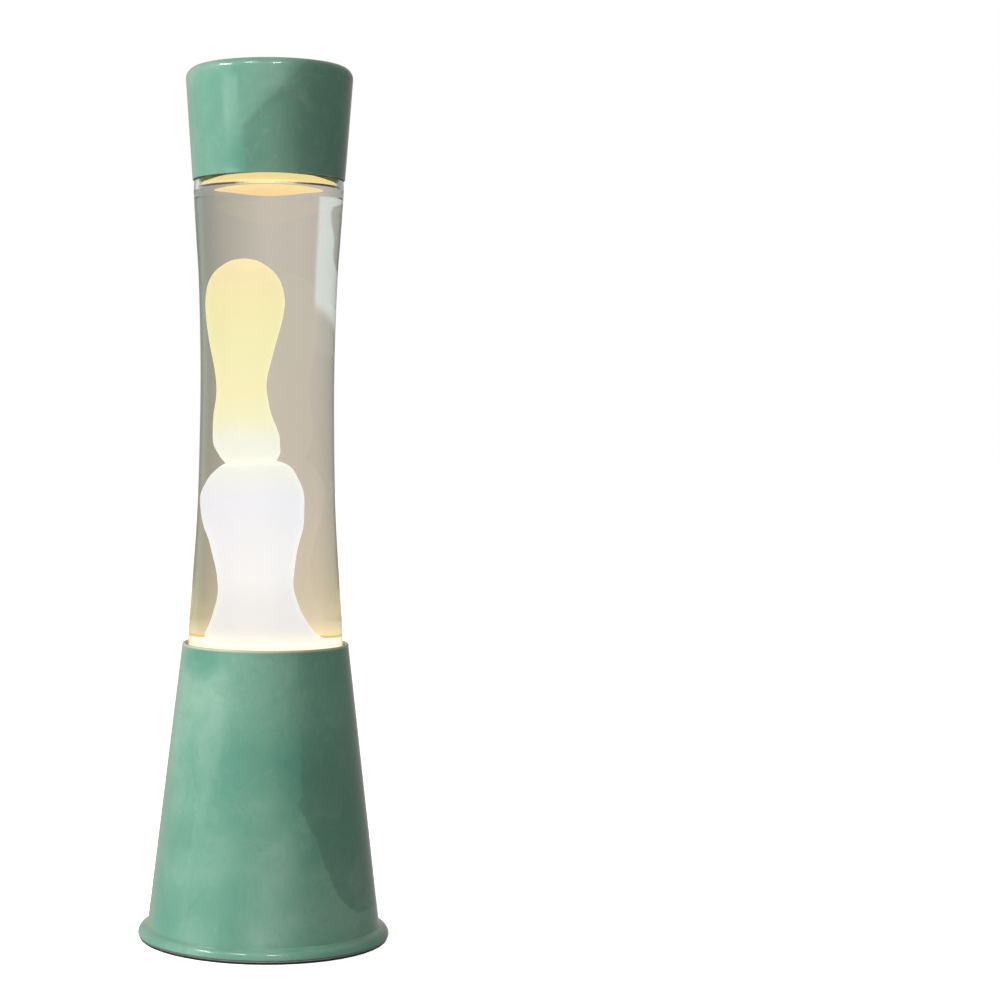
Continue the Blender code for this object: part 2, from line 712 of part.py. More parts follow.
def make_liquid():
    """The liquid between the pool and its surface, less the room that each body of wax takes."""
    low = POOL_Z - 2
    heights = [LEVEL_Z, *[height for radius, height in BOTTLE_SIDE if POOL_Z < height < LEVEL_Z - 3], low]
    side = [(wall_radius(height) - GLASS - GAP, height) for height in heights]
    liquid = turned("lamp_liquid", [(0, LEVEL_Z), *side, (0, low)], 32)
    beyond = wall_radius(POOL_Z)
    column = [*grown(COLUMN, GAP), (beyond, POOL_Z + GAP), (beyond, low - 2), (0, low - 2)]
    column_room = turned("column_room", column, COLUMN_STEPS, collection=cutters)
    column_room = as_cutter(swayed(column_room, COLUMN_SWAY))
    lens_room = as_cutter(turned("lens_room", grown(LENS, GAP), LENS_STEPS, collection=cutters))
    finish(cut(liquid, column_room, blob_room("blob_room"), lens_room), lamp_liquid())


# ---- cap -----------------------------------------------------------------------------------------

def make_cap():
    sheet = CAP_SHEET
    corner = (CAP_TOP_R - CAP_CORNER, CAP_TOP_Z - CAP_CORNER)
    outline = [(0, CAP_TOP_Z), *arc(corner, (CAP_CORNER, CAP_CORNER), 90, 3, 6), (CAP_R, CAP_Z + 0.6),
               (CAP_R, CAP_Z), (CAP_R - sheet, CAP_Z), (CAP_R - sheet, CAP_Z + 0.6),
               *arc(corner, (CAP_CORNER - sheet, CAP_CORNER - sheet), 3, 90, 5), (0, CAP_TOP_Z - sheet)]
    finish(turned("cap_shell", outline, 48), marbled_enamel())
    pad = [(33.9, 355.0), (33.9, 349.0), (33.0, 348.4), (31.0, 347.7), (26.0, 350.6), (26.0, 355.0)]
    finish(turned("cap_pad_ring", pad, 32, ring=True), black_rubber())


make_foot_ring()
make_base_plate()
make_base_shell()
make_cable_grommet()
make_seat()
make_seat_gasket()
make_holder_bracket()
make_holder_mounting()
make_lampholder()
make_wiring()
make_bulb()
make_bottle()
make_closure()
make_wax()
make_heat_coil()
make_liquid()
make_cap()
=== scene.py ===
"""Lava lamp in a plain studio: marbled enamel base and cap, glass bottle of liquid and glowing wax."""

import math

import bmesh
import bpy
from mathutils import Matrix, Vector


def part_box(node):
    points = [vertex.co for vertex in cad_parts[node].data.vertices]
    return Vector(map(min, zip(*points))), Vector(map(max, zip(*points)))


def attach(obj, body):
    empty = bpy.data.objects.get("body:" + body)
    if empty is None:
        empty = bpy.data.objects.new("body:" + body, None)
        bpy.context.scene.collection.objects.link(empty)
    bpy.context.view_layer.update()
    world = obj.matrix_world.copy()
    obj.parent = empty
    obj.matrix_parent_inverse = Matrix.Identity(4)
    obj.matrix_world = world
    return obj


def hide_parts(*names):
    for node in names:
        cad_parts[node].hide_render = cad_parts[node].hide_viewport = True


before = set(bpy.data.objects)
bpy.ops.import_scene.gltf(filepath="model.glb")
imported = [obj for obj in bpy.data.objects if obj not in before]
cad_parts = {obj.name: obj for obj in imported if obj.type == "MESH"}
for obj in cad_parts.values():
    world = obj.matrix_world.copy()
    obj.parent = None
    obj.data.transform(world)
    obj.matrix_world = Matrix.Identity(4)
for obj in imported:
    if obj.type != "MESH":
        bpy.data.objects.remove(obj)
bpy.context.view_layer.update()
MM = 0.001

# ---- Studio ---------------------------------------------------------------------------------------
# A pale sweep of paper under the lamp, white all round, with a tall window light from the left and a
# weak fill from in front. The camera stands a metre away, a little above mid height, tilted slightly
# down, with its lens shifted sideways so that the lamp stands left of the middle.

camera_data = bpy.data.cameras.new("camera")
camera_data.lens = 81.0
camera_data.sensor_width = 36.0
camera_data.shift_x = 0.2335
camera = bpy.data.objects.new("camera", camera_data)
bpy.context.scene.collection.objects.link(camera)
EYE = Vector((0.0, -1.0105, 0.234))
PITCH, ROLL = math.radians(2.094), math.radians(0.42)
tilt = Matrix.Rotation(math.pi / 2 - PITCH, 4, "X")
camera.matrix_world = Matrix.Translation(EYE) @ tilt @ Matrix.Rotation(ROLL, 4, "Z")
bpy.context.scene.camera = camera
bpy.context.scene.view_settings.view_transform = "Standard"


class Shade:
    """A socket in a node tree: arithmetic on it adds Math nodes, and node() adds any other node."""

    def __init__(self, tree, socket):
        self.tree = tree
        self.socket = socket

    def node(self, kind, settings=None, inputs=None, out=0):
        """Add a node, give it its settings and then what its sockets take; return one output."""
        made = self.tree.nodes.new(kind)
        for name, value in (settings or {}).items():
            if name == "stops":
                points = made.color_ramp.elements
                points[1].position, points[1].color = value[-1]
                points[0].position, points[0].color = value[0]
                for position, colour in value[1:-1]:
                    points.new(position).color = colour
            else:
                setattr(made, name, value)
        for name, value in (inputs or {}).items():
            if isinstance(value, Shade):
                self.tree.links.new(value.socket, made.inputs[name])
            else:
                made.inputs[name].default_value = value
        return Shade(self.tree, made.outputs[out])

    def math(self, operation, first, second):
        return self.node("ShaderNodeMath", {"operation": operation}, {0: first, 1: second})

    def __add__(self, other):
        return self.math("ADD", self, other)

    def __radd__(self, other):
        return self.math("ADD", other, self)

    def __sub__(self, other):
        return self.math("SUBTRACT", self, other)

    def __rsub__(self, other):
        return self.math("SUBTRACT", other, self)

    def __mul__(self, other):
        return self.math("MULTIPLY", self, other)

    def __rmul__(self, other):
        return self.math("MULTIPLY", other, self)

    def __abs__(self):
        return self.math("ABSOLUTE", self, 0.0)

    def axis(self, name):
        """One of a vector's numbers: X, Y or Z."""
        return self.node("ShaderNodeSeparateXYZ", inputs={"Vector": self}, out=name)

    def vector(self, operation, other):
        return self.node("ShaderNodeVectorMath", {"operation": operation}, {0: self, 1: other})

    def noise(self, scale, detail=4.0, roughness=0.5, distortion=0.0, out="Fac"):
        values = {"Vector": self, "Scale": scale, "Detail": detail, "Roughness": roughness,
                  "Distortion": distortion}
        return self.node("ShaderNodeTexNoise", inputs=values, out=out)

    def step(self, low, high):
        """0 below low and 1 above high, with a smooth rise between; low may be the larger."""
        if low > high:
            return 1 - self.step(high, low)
        values = {0: self, 1: low, 2: high, 3: 0.0, 4: 1.0}
        return self.node("ShaderNodeMapRange", {"interpolation_type": "SMOOTHSTEP"}, values)

    def mix(self, from_colour, to_colour, blend="MIX"):
        """Colours mixed with this socket as the share of the second."""
        settings = {"data_type": "RGBA", "blend_type": blend}
        return self.node("ShaderNodeMix", settings, {0: self, 6: rgba(from_colour), 7: rgba(to_colour)}, 2)

    def ramp(self, *stops):
        """Colours along this socket's value, from (position, colour) stops."""
        return self.node("ShaderNodeValToRGB", {"stops": [(at, rgba(colour)) for at, colour in stops]},
                         {"Fac": self})


def rgba(colour):
    return colour if isinstance(colour, Shade) or len(colour) == 4 else (*colour, 1.0)


def studio_world():
    """White paper behind the lamp. What it mirrors is a grey room, darker at the right. What shows
    through its glass is a warmer backdrop, with a pale pane on its left that the bottle turns over
    to the right."""
    world = bpy.data.worlds.new("studio")
    bpy.context.scene.world = world
    world.use_nodes = True
    tree = world.node_tree
    background = tree.nodes["Background"]
    direction = Shade(tree, tree.nodes.new("ShaderNodeTexCoord").outputs["Generated"])
    seen = direction.node("ShaderNodeLightPath", out="Is Camera Ray")
    bent = direction.node("ShaderNodeLightPath", out="Is Transmission Ray")
    side = direction.axis("X").step(-1.0, 1.0)
    room = side.ramp((0.0, (0.44, 0.43, 0.40)), (0.5, (0.50, 0.455, 0.41)),
                     (0.75, (0.33, 0.33, 0.31)), (1.0, (0.16, 0.17, 0.165)))
    backdrop = side.ramp((0.0, (0.10, 0.11, 0.10)), (0.03, (0.44, 0.43, 0.40)), (0.2, (0.60, 0.54, 0.49)),
                         (0.5, (0.62, 0.56, 0.50)), (0.75, (0.46, 0.43, 0.38)), (0.90, (0.32, 0.32, 0.29)),
                         (0.96, (0.34, 0.42, 0.38)), (1.0, (0.08, 0.09, 0.08)))
    rise = direction.axis("Z")
    pane = direction.axis("X").step(-0.36, -0.42) * rise.step(0.070, 0.084) * rise.step(0.156, 0.150)
    backdrop = pane.mix(backdrop, (0.80, 0.85, 0.83))
    colour = seen.mix(bent.mix(room, backdrop), (1.0, 1.0, 1.0))
    tree.links.new(colour.socket, background.inputs["Color"])


def area_light(name, place, aim, size, power, colour=(1.0, 1.0, 1.0)):
    """A rectangular soft light at a place, turned to face a point."""
    data = bpy.data.lights.new(name, "AREA")
    data.shape = "RECTANGLE"
    data.size, data.size_y = size
    data.energy = power
    data.color = colour
    light = bpy.data.objects.new(name, data)
    light.location = place
    light.rotation_euler = (Vector(aim) - Vector(place)).to_track_quat("-Z", "Y").to_euler()
    bpy.context.scene.collection.objects.link(light)
    return light


def paper_floor():
    """The sweep of paper, lit until it is almost white, which keeps its own glow off the lamp."""
    shape = bmesh.new()
    half = 6.0
    corners = ((-half, -half), (half, -half), (half, half), (-half, half))
    shape.faces.new([shape.verts.new((x, y, 0.0)) for x, y in corners])
    mesh = bpy.data.meshes.new("paper_floor")
    shape.to_mesh(mesh)
    floor = bpy.data.objects.new("paper_floor", mesh)
    bpy.context.scene.collection.objects.link(floor)
    paper = bpy.data.materials.new("paper")
    paper.use_nodes = True
    surface = paper.node_tree.nodes["Principled BSDF"]
    surface.inputs["Base Color"].default_value = (0.9, 0.9, 0.9, 1.0)
    surface.inputs["Roughness"].default_value = 0.9
    surface.inputs["Specular IOR Level"].default_value = 0.0
    surface.inputs["Emission Color"].default_value = (1.0, 1.0, 1.0, 1.0)
    surface.inputs["Emission Strength"].default_value = 0.82
    mesh.materials.append(paper)
    floor.visible_diffuse = False
    floor.visible_glossy = False
    floor.visible_transmission = False


studio_world()
paper_floor()
BODY = (0, 0, 0.2)
CAP_EDGE = (0, 0, 0.385)
# Two soft lights do the lighting, and their own outlines don't show in the lacquer or the glass.
for light in (area_light("window_light", (-1.45, -0.72, 0.62), BODY, (0.55, 0.9), 24.0, (1.0, 0.99, 0.97)),
              area_light("front_fill", (0.25, -1.6, 0.9), BODY, (0.8, 0.5), 4.0)):
    light.visible_glossy = False
    light.visible_transmission = False
# Four small cards light nothing matt, and only show as glints in what is glossy.
for card in (area_light("window_slot", (-1.26, -0.87, 0.396), (0, 0, 0.37), (0.60, 0.03), 0.18),
             area_light("ceiling_slot_1", (-1.045, -0.184, 1.44), CAP_EDGE, (0.5, 0.16), 5.0),
             area_light("ceiling_slot_2", (-0.478, -0.635, 1.66), CAP_EDGE, (0.32, 0.16), 3.4),
             area_light("ceiling_slot_3", (0.208, -0.835, 1.61), CAP_EDGE, (0.25, 0.16), 2.6)):
    card.visible_diffuse = False
    card.visible_transmission = False

# ---- Base shell -----------------------------------------------------------------------------------
# The base is spun from sheet metal: a straight cone whose top edge is rolled over and whose foot is
# rolled out into a round bead. It is painted in marbled greens like wet paper, and thickly lacquered.

foot_low, foot_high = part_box("base_shell")
SHELL_LOW = foot_low.z / MM
SHELL_TOP = foot_high.z / MM
BEAD_R = foot_high.x / MM
SHEET = 0.8
CONE_FOOT_R = 52.2
CONE_FOOT_Z = 6.3
FOOT_FLAT_R = 50.0
RIM_R = 37.45
HEM_R = 0.7


def lathe(name, outline, steps=160, place=None, closed=False):
    """A turned mesh: a ring for each (radius, height) in millimetres, joined to the ring before it."""
    shape = bmesh.new()
    rings = []
    for radius, height in outline:
        ring = []
        for i in range(steps if radius > 0 else 1):
            angle = 2 * math.pi * i / steps
            if place:
                spot = place(radius, height, angle)
            else:
                spot = (radius * math.cos(angle), radius * math.sin(angle), height)
            ring.append(shape.verts.new([value * MM for value in spot]))
        rings.append(ring)
    pairs = list(zip(rings, rings[1:]))
    if closed:
        pairs.append((rings[-1], rings[0]))
    for upper, lower in pairs:
        for i in range(steps):
            j = i + 1
            near = (upper[i % len(upper)], lower[i % len(lower)])
            far = (lower[j % len(lower)], upper[j % len(upper)])
            shape.faces.new(list(dict.fromkeys((*near, *far))))
    mesh = bpy.data.meshes.new(name)
    shape.to_mesh(mesh)
    shape.free()
    mesh.shade_smooth()
    mesh.set_sharp_from_angle(angle=math.radians(35))
    made = bpy.data.objects.new(name, mesh)
    bpy.context.scene.collection.objects.link(made)
    return made


def arc(centre, radii, start, end, count):
    """Points along an ellipse about (radius, height), from start to end in degrees."""
    angles = [math.radians(start + (end - start) * i / (count - 1)) for i in range(count)]
    return [(centre[0] + radii[0] * math.cos(a), centre[1] + radii[1] * math.sin(a)) for a in angles]


def through(points, spans=6):
    """A smooth curve through (radius, height) points, with this many spans between neighbours."""
    ends = [points[0], *points, points[-1]]
    out = []
    for i in range(1, len(ends) - 2):
        before, here, there, after = (Vector(p) for p in ends[i - 1:i + 3])
        for k in range(spans):
            t = k / spans
            bend = 2 * before - 5 * here + 4 * there - after
            turn = 3 * here - before - 3 * there + after
            out.append(tuple(0.5 * (2 * here + (there - before) * t + bend * t * t + turn * t ** 3)))
    return [*out, tuple(points[-1])]


def settle(piece, body, slot_name, material, *nodes):
    """Give a piece its material and body, and let it stand for these CAD nodes."""
    piece.data.materials.clear()
    piece.data.materials.append(material)
    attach(piece, body)
    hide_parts(*nodes)


def finish(name, constants, paint):
    """A Principled material: constants set on its own sockets, and paint(place) for what varies."""
    made = bpy.data.materials.new(name)
    made.use_nodes = True
    tree = made.node_tree
    surface = tree.nodes["Principled BSDF"]
    for socket, value in constants.items():
        surface.inputs[socket].default_value = value
    place = Shade(tree, tree.nodes.new("ShaderNodeTexCoord").outputs["Object"])
    for socket, shade in paint(place).items():
        tree.links.new(shade.socket, surface.inputs[socket])
    return made


def relief(height, strength, distance):
    """A bump from a height, for a Normal socket."""
    values = {"Strength": strength, "Distance": distance, "Height": height}
    return height.node("ShaderNodeBump", inputs=values)


MINT = (0.335, 0.545, 0.44)
JADE = (0.155, 0.40, 0.295)
TEAL = (0.105, 0.33, 0.25)
MOSS = (0.085, 0.205, 0.15)
# The last colour is a painted reflection of the wax's glow, for the lip of the base's rim.
RIM_GLOW_REFLECTION = (0.66, 0.61, 0.42)


def marble(place):
    """Watery greens in layers: soft clouds, lighter and darker washes, crisp dried edges and fine wisps.
    A darker wash that is partly painted shade covers the right side of the base and of the cap, and a
    painted reflection of the wax's glow lights the lip of the base's rim.
    """
    swirl = place.noise(11.0, 3.0, 0.55, out="Color").vector("SUBTRACT", (0.5, 0.5, 0.5))
    wet = place.vector("ADD", swirl.vector("MULTIPLY", (0.05, 0.05, 0.07)))
    ragged = (place.noise(90.0, 5.0, 0.6) - 0.5) * 0.10
    turn = place.math("ARCTAN2", place.axis("X"), place.axis("Y") * -1.0)
    height = place.axis("Z") * (1 / MM)
    drift = (wet.noise(38.0, 4.0, 0.55) - 0.5) * 1.6

    def wash(degrees, middle, half_turn, half_height):
        """A soft patch about an angle round the lamp and a height."""
        across = (turn - math.radians(degrees)) * (1 / math.radians(half_turn))
        up = (height - middle) * (1 / half_height)
        return (across * across + up * up + drift).step(1.0, -0.1)

    cloud = wet.noise(15.0, 6.0, 0.55)
    colour = cloud.ramp((0.30, TEAL), (0.48, (0.165, 0.39, 0.29)), (0.70, (0.27, 0.49, 0.385)))
    streak = wet.vector("MULTIPLY", (1.0, 1.0, 0.25)).noise(44.0, 4.0, 0.6)
    colour = (streak.step(0.52, 0.74) * 0.35).mix(colour, MINT)
    colour = (streak.step(0.46, 0.28) * 0.35).mix(colour, TEAL)
    for patch, strength, tint in ((wash(-42, 104, 36, 17), 0.15, MINT), (wash(-28, 45, 24, 20), 0.12, MINT),
                                  (wash(-48, 128, 34, 10), 0.9, TEAL), (wash(-20, 74, 50, 11), 0.30, TEAL),
                                  (wash(-62, 22, 30, 24), 0.4, TEAL), (wash(14, 26, 20, 12), 0.4, JADE),
                                  (wash(150, 70, 60, 40), 0.3, MINT), (wash(-16, 347, 20, 11), 0.9, TEAL),
                                  (wash(-40, 362, 60, 44), 0.5, TEAL), (wash(170, 362, 50, 20), 0.3, MINT)):
        colour = (patch * strength).mix(colour, tint)
    edge = (height * (1 / 132.0)).ramp((0.120, (0.95, 0.95, 0.95)), (0.187, (0.733, 0.733, 0.733)),
                                       (0.273, (0.628, 0.628, 0.628)), (0.367, (0.524, 0.524, 0.524)),
                                       (0.445, (0.436, 0.436, 0.436)), (0.505, (0.34, 0.34, 0.34)),
                                       (0.535, (0.39, 0.39, 0.39)), (1.0, (0.37, 0.37, 0.37)))
    # Beyond a crisp torn edge lies a darker wash, partly the marbling's own and partly painted shade spread
    # over the base's right side, away from the window light. A darker dried line runs along the edge.
    beyond = turn - edge + ragged
    tongue = beyond.step(0.0, 0.02) * turn.step(2.4, 1.6) * (height + ragged * 12.0).step(16.0, 17.2)
    faded = 1 - height.step(72.0, 112.0) * 0.75
    colour = (tongue * faded * 0.48).mix(colour, MOSS)
    dried = abs(beyond).step(0.022, 0.0) * height.step(17.0, 22.0) * height.step(98.0, 82.0)
    colour = (dried * 0.45).mix(colour, MOSS)
    # On the cap, a darker wash with a crisp slanted edge, spread as painted shade over its whole right side.
    bank = (height - 371.2) * 0.0271
    slope = turn - bank.math("MAXIMUM", bank, -0.30) + ragged * 1.4
    shade = (slope.step(-0.05, 0.05) * 0.7 + slope.step(-0.42, 0.10) * 0.3) * turn.step(2.6, 1.8)
    colour = (shade * height.step(330.0, 331.0) * 0.55).mix(colour, MOSS)
    colour = (abs(slope).step(0.09, 0.0) * height.step(349.0, 354.0) * 0.25).mix(colour, MOSS)
    wisp_place = wet.vector("MULTIPLY", (1.0, 1.0, 0.55))
    fibre = wisp_place.noise(150.0, 3.0, 0.7, 1.5)
    colour = (fibre.step(0.54, 0.80) * 0.15).mix(colour, (0.5, 0.68, 0.58))
    colour = (fibre.step(0.44, 0.26) * 0.20).mix(colour, MOSS)
    bloom = wet.noise(34.0, 5.0, 0.60, 0.4)
    colour = (bloom.step(0.50, 0.72) * 0.26).mix(colour, MINT)
    colour = (bloom.step(0.48, 0.28) * 0.34).mix(colour, TEAL)
    speck = place.noise(620.0, 2.0, 0.6)
    colour = (speck.step(0.62, 0.72) * 0.12).mix(colour, MOSS)
    crease = abs(wet.noise(30.0, 3.0, 0.5, 0.8) - 0.5).step(0.010, 0.0)
    crease = crease * place.noise(26.0, 2.0).step(0.52, 0.64)
    colour = (crease * 0.20).mix(colour, MOSS)
    # Painted reflection: a cream band on the rim's rolled lip stands for the wax's glow shining on it.
    lip = (height + ragged * 3.0).step(131.6, 132.3) * height.step(140.0, 138.0)
    colour = (lip * 0.85).mix(colour, RIM_GLOW_REFLECTION)
    lacquer = place.noise(230.0, 2.0, 0.5) * 0.6 + place.noise(60.0, 2.0, 0.5)
    return {"Base Color": colour, "Roughness": 0.30 + fibre * 0.12, "Normal": relief(lacquer, 0.12, 0.0004)}


ENAMEL = {"Coat Weight": 1.0, "Coat Roughness": 0.10, "Coat IOR": 1.5, "Specular IOR Level": 0.35}
marbled_enamel = finish("marbled_enamel", ENAMEL, marble)
HEM_Z = SHELL_TOP - HEM_R
bead = (CONE_FOOT_R, SHELL_LOW)
bead_out = BEAD_R - CONE_FOOT_R
bead_up = CONE_FOOT_Z - 0.5 - SHELL_LOW
shell_outline = [
    *arc((RIM_R - HEM_R, HEM_Z), (HEM_R, HEM_R), 180, 0, 13),
    (RIM_R, HEM_Z - 0.6),
    *[(RIM_R + (CONE_FOOT_R - RIM_R) * t, HEM_Z - 0.6 + (CONE_FOOT_Z - HEM_Z + 0.6) * t)
      for t in (i / 24 for i in range(1, 24))],
    (CONE_FOOT_R, CONE_FOOT_Z),
    *arc(bead, (bead_out, bead_up), 80, 0, 16),
    (BEAD_R - 0.4, SHELL_LOW),
    (FOOT_FLAT_R, SHELL_LOW),
    (FOOT_FLAT_R, SHELL_LOW + SHEET),
    *arc(bead, (bead_out - SHEET, bead_up - SHEET), 8, 80, 10),
    (CONE_FOOT_R - SHEET, CONE_FOOT_Z),
    (RIM_R - SHEET + 0.15, HEM_Z - 2.0),
    (RIM_R - 2 * HEM_R, HEM_Z - 1.4),
]
# The turned sheet is whole: it has no hole behind the cable's bush.
base_cone = lathe("base_cone", shell_outline, 192, closed=True)
settle(base_cone, "base", "marbled_enamel", marbled_enamel, "base_shell")

# ---- Foot -----------------------------------------------------------------------------------------
# A pressed zinc-plated plate closes the base, and a ring of black rubber under its rim keeps it off
# the table. The cable's bush in the back of the cone is the same rubber.


def worn_rubber(place):
    dust = place.noise(160.0, 5.0, 0.65)
    grain = place.noise(900.0, 2.0)
    colour = dust.ramp((0.3, (0.012, 0.016, 0.015)), (0.75, (0.040, 0.046, 0.044)))
    return {"Base Color": colour, "Roughness": 0.62 + dust * 0.3, "Normal": relief(grain, 0.3, 0.0002)}


def plated_steel(place):
    """Bright zinc with a faint spangle and rolling marks."""
    spangle = place.noise(120.0, 6.0, 0.7, 1.2)
    rolled = place.vector("MULTIPLY", (1.0, 14.0, 14.0)).noise(90.0, 3.0)
    colour = spangle.ramp((0.3, (0.40, 0.41, 0.42)), (0.7, (0.60, 0.61, 0.60)))
    return {"Base Color": colour, "Roughness": 0.26 + rolled * 0.22, "Normal": relief(rolled, 0.1, 0.0002)}


rubber = finish("worn_rubber", {"Specular IOR Level": 0.35}, worn_rubber)
zinc = finish("plated_steel", {"Metallic": 1.0}, plated_steel)


def repaint(material, *nodes):
    """Give CAD nodes whose shape is right their finished material."""
    for node in nodes:
        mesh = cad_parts[node].data
        mesh.materials.clear()
        mesh.materials.append(material)
        mesh.shade_smooth()
        mesh.set_sharp_from_angle(angle=math.radians(32))


repaint(rubber, "foot_ring", "cable_grommet")
repaint(zinc, "base_plate")

# ---- Bottle shelf ---------------------------------------------------------------------------------
# A flat ring on three riveted posts holds the bottle over the bulb, with a soft silicone ring for the
# bottle's heel. Screws through the plate pull the posts down and clamp the shell between.


def milky_silicone(place):
    cloud = place.noise(70.0, 4.0, 0.6)
    colour = cloud.ramp((0.3, (0.62, 0.60, 0.54)), (0.7, (0.78, 0.77, 0.72)))
    grain = place.noise(500.0)
    return {"Base Color": colour, "Roughness": 0.42 + cloud * 0.2, "Normal": relief(grain, 0.2, 0.0002)}


silicone = finish("milky_silicone", {"Subsurface Weight": 0.15}, milky_silicone)
repaint(zinc, "seat_ring")
for i in (1, 2, 3):
    repaint(zinc, f"seat_post_{i}", f"post_screw_{i}")
repaint(silicone, "seat_gasket")

# ---- Lampholder -----------------------------------------------------------------------------------
# A bent steel strap screwed to the plate carries the holder on a hollow threaded nipple. The holder
# is moulded phenolic with a pressed brass thread shell and a springy centre contact inside.


def yellow_brass(place):
    tarnish = place.noise(110.0, 6.0, 0.65)
    colour = tarnish.ramp((0.25, (0.42, 0.27, 0.10)), (0.55, (0.72, 0.50, 0.20)), (0.8, (0.82, 0.62, 0.30)))
    return {"Base Color": colour, "Roughness": 0.22 + tarnish * 0.25}


def moulded_phenolic(place):
    fleck = place.noise(420.0, 3.0, 0.7)
    colour = fleck.ramp((0.35, (0.012, 0.011, 0.010)), (0.8, (0.045, 0.040, 0.036)))
    return {"Base Color": colour, "Roughness": 0.34 + fleck * 0.2, "Normal": relief(fleck, 0.15, 0.0001)}


brass = finish("yellow_brass", {"Metallic": 1.0}, yellow_brass)
phenolic = finish("moulded_phenolic", {"Specular IOR Level": 0.5}, moulded_phenolic)
repaint(zinc, "holder_bracket", "bracket_screw_1", "bracket_screw_2", "holder_nut")
repaint(brass, "holder_nipple", "thread_shell", "centre_contact")
repaint(phenolic, "lampholder_body", "lampholder_skirt")

# ---- Wiring ---------------------------------------------------------------------------------------
# The mains cable ends in a two-way nylon terminal block on the plate, and one brown and one blue
# PVC lead go on from it to the holder.


def moulded_nylon(place):
    cloud = place.noise(90.0, 3.0)
    colour = cloud.ramp((0.3, (0.66, 0.65, 0.60)), (0.7, (0.80, 0.79, 0.75)))
    return {"Base Color": colour, "Roughness": 0.45 + cloud * 0.15}


def drawn_pvc(dark, light):
    """PVC sleeving that shines in streaks where it was drawn through the die."""
    def paint(place):
        streak = place.noise(260.0, 3.0, 0.6)
        return {"Base Color": streak.ramp((0.3, dark), (0.7, light)), "Roughness": 0.32 + streak * 0.2}
    return paint


nylon = finish("moulded_nylon", {"Subsurface Weight": 0.1}, moulded_nylon)
PVC = {"Specular IOR Level": 0.5}
brown_pvc = finish("brown_pvc", PVC, drawn_pvc((0.06, 0.022, 0.010), (0.14, 0.055, 0.024)))
blue_pvc = finish("blue_pvc", PVC, drawn_pvc((0.02, 0.08, 0.32), (0.05, 0.16, 0.50)))
repaint(nylon, "terminal_block")
repaint(brass, "terminal_screw_1", "terminal_screw_2")
repaint(brown_pvc, "lead_live")
repaint(blue_pvc, "lead_neutral")

# ---- Bulb -----------------------------------------------------------------------------------------
# A small reflector bulb: blown glass, silvered inside round its neck and frosted over its crown, on
# a brass screw cap with a black glass insulator and a blob of solder for its tip.

bulb_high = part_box("bulb_envelope")[1]
BULB_R = bulb_high.x / MM
BULB_TOP = bulb_high.z / MM
BULB_WAIST = 78.0
BULB_WALL = 0.8
SILVER_TOP = 76.0


def frosted_crown(place):
    """Lit frosting over the crown, and silvering below the widest part."""
    height = place.axis("Z")
    crown = height.step((SILVER_TOP - 0.5) * MM, (SILVER_TOP + 0.5) * MM)
    frost = place.noise(600.0, 3.0)
    colour = crown.mix((0.72, 0.72, 0.72), (0.93, 0.90, 0.84))
    glow = crown.mix((0.0, 0.0, 0.0), (1.0, 0.86, 0.60))
    return {"Base Color": colour, "Metallic": 1 - crown, "Roughness": 0.18 + crown * 0.3,
            "Emission Color": glow, "Normal": relief(frost, 0.15, 0.0001)}


def clear_stem(place):
    ripple = place.noise(200.0, 2.0)
    return {"Base Color": ripple.ramp((0.3, (0.80, 0.86, 0.84)), (0.7, (0.90, 0.94, 0.92))),
            "Roughness": 0.04 + ripple * 0.05}


def dull_solder(place):
    dull = place.noise(300.0, 4.0, 0.7)
    return {"Base Color": dull.ramp((0.3, (0.38, 0.38, 0.38)), (0.7, (0.66, 0.66, 0.65))),
            "Roughness": 0.35 + dull * 0.2}


def hot_tungsten(place):
    heat = place.noise(400.0, 2.0)
    return {"Base Color": heat.ramp((0.3, (0.20, 0.17, 0.15)), (0.7, (0.32, 0.28, 0.24))),
            "Emission Color": heat.ramp((0.3, (1.0, 0.62, 0.25)), (0.7, (1.0, 0.80, 0.45)))}


bulb_frost = finish("bulb_frost", {"Emission Strength": 1.6, "IOR": 1.5}, frosted_crown)
stem_glass = finish("stem_glass", {"Transmission Weight": 1.0, "IOR": 1.5}, clear_stem)
solder = finish("dull_solder", {"Metallic": 1.0}, dull_solder)
GLOWING_METAL = {"Metallic": 1.0, "Roughness": 0.5, "Emission Strength": 6.0}
tungsten = finish("hot_tungsten", GLOWING_METAL, hot_tungsten)
bulb_side = through([(BULB_R, BULB_WAIST), (18.2, 71.5), (14.0, 62.5), (9.4, 54.5), (6.5, 49.5), (5.75, 46.8),
                     (5.75, 40.0)], 4)
bulb_inside = [(radius - BULB_WALL, height) for radius, height in reversed(bulb_side)]
bulb_outline = [(0, BULB_TOP), *arc((0, BULB_WAIST), (BULB_R, BULB_TOP - BULB_WAIST), 87, 4, 14), *bulb_side,
                *bulb_inside,
                *arc((0, BULB_WAIST), (BULB_R - BULB_WALL, BULB_TOP - BULB_WALL - BULB_WAIST), 4, 87, 10),
                (0, BULB_TOP - BULB_WALL)]
settle(lathe("bulb_glass_shell", bulb_outline, 96), "bulb", "bulb_glass", bulb_frost, "bulb_envelope")
repaint(brass, "bulb_screw_cap")
repaint(phenolic, "bulb_insulator")
repaint(solder, "bulb_tip_contact")
repaint(stem_glass, "bulb_stem")
repaint(zinc, "bulb_lead_1", "bulb_lead_2")
repaint(tungsten, "bulb_filament")

# ---- Bottle ---------------------------------------------------------------------------------------
# A blown bottle of clear glass, waisted in the middle, with a rounded heel, a round shoulder and a
# crown finish at its mouth. Its surface keeps a little of the ripple of blown glass.

